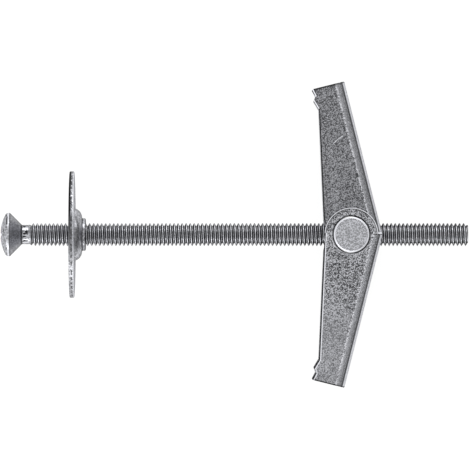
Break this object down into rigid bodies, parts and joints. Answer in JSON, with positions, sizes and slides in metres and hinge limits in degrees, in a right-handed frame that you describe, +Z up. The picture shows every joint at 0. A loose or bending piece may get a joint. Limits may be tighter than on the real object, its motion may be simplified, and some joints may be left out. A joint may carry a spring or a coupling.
{
  "type": "spring toggle bolt",
  "caption": "Slender machine screw with a dished round washer and a trunnion nut that carries two sprung channel-shaped wings.",
  "frame": {"origin": "on the table, midway along the bolt from the top of the head to the free end, under its middle plane", "axes": "+X from the head to the free end, +Y along the upper wing side, +Z up from the table; the screw slopes down towards +X"},
  "size_m": [0.0812, 0.0532, 0.022],
  "materials": {
    "screw_plating": "bright zinc plate",
    "washer_plating": "bright zinc plate",
    "nut_plating": "turned and zinc plated",
    "wing_plating": "speckled zinc plate on pressed sheet",
    "spring_wire": "drawn wire"
  },
  "bodies": {
    "screw": {"screw": "screw_plating"},
    "washer": {"washer": "washer_plating"},
    "nut": {"trunnion_nut": "nut_plating", "spring": "spring_wire"},
    "upper_wing": {"upper_wing": "wing_plating"},
    "lower_wing": {"lower_wing": "wing_plating"}
  },
  "joints": [
    {"name": "washer_slide", "type": "slide", "parent": "screw", "child": "washer", "axis": [0.9942, 0, -0.1073], "range_m": [-0.0105, 0.006]},
    {"name": "nut_travel", "type": "slide", "parent": "screw", "child": "nut", "axis": [0.9942, 0, -0.1073], "range_m": [-0.013, 0.017]},
    {"name": "upper_wing_fold", "type": "hinge", "parent": "nut", "child": "upper_wing", "pos_m": [0.02017, 0, 0.00577], "axis": [0.1073, 0, 0.9942], "range_deg": [0, 76], "stiffness_Nm_per_rad": 0.015, "springref_deg": -57.3, "deforming": ["spring"]},
    {"name": "lower_wing_fold", "type": "hinge", "parent": "nut", "child": "lower_wing", "pos_m": [0.02017, 0, 0.00577], "axis": [-0.1073, 0, -0.9942], "range_deg": [0, 76], "stiffness_Nm_per_rad": 0.015, "springref_deg": -57.3, "deforming": ["spring"]}
  ]
}
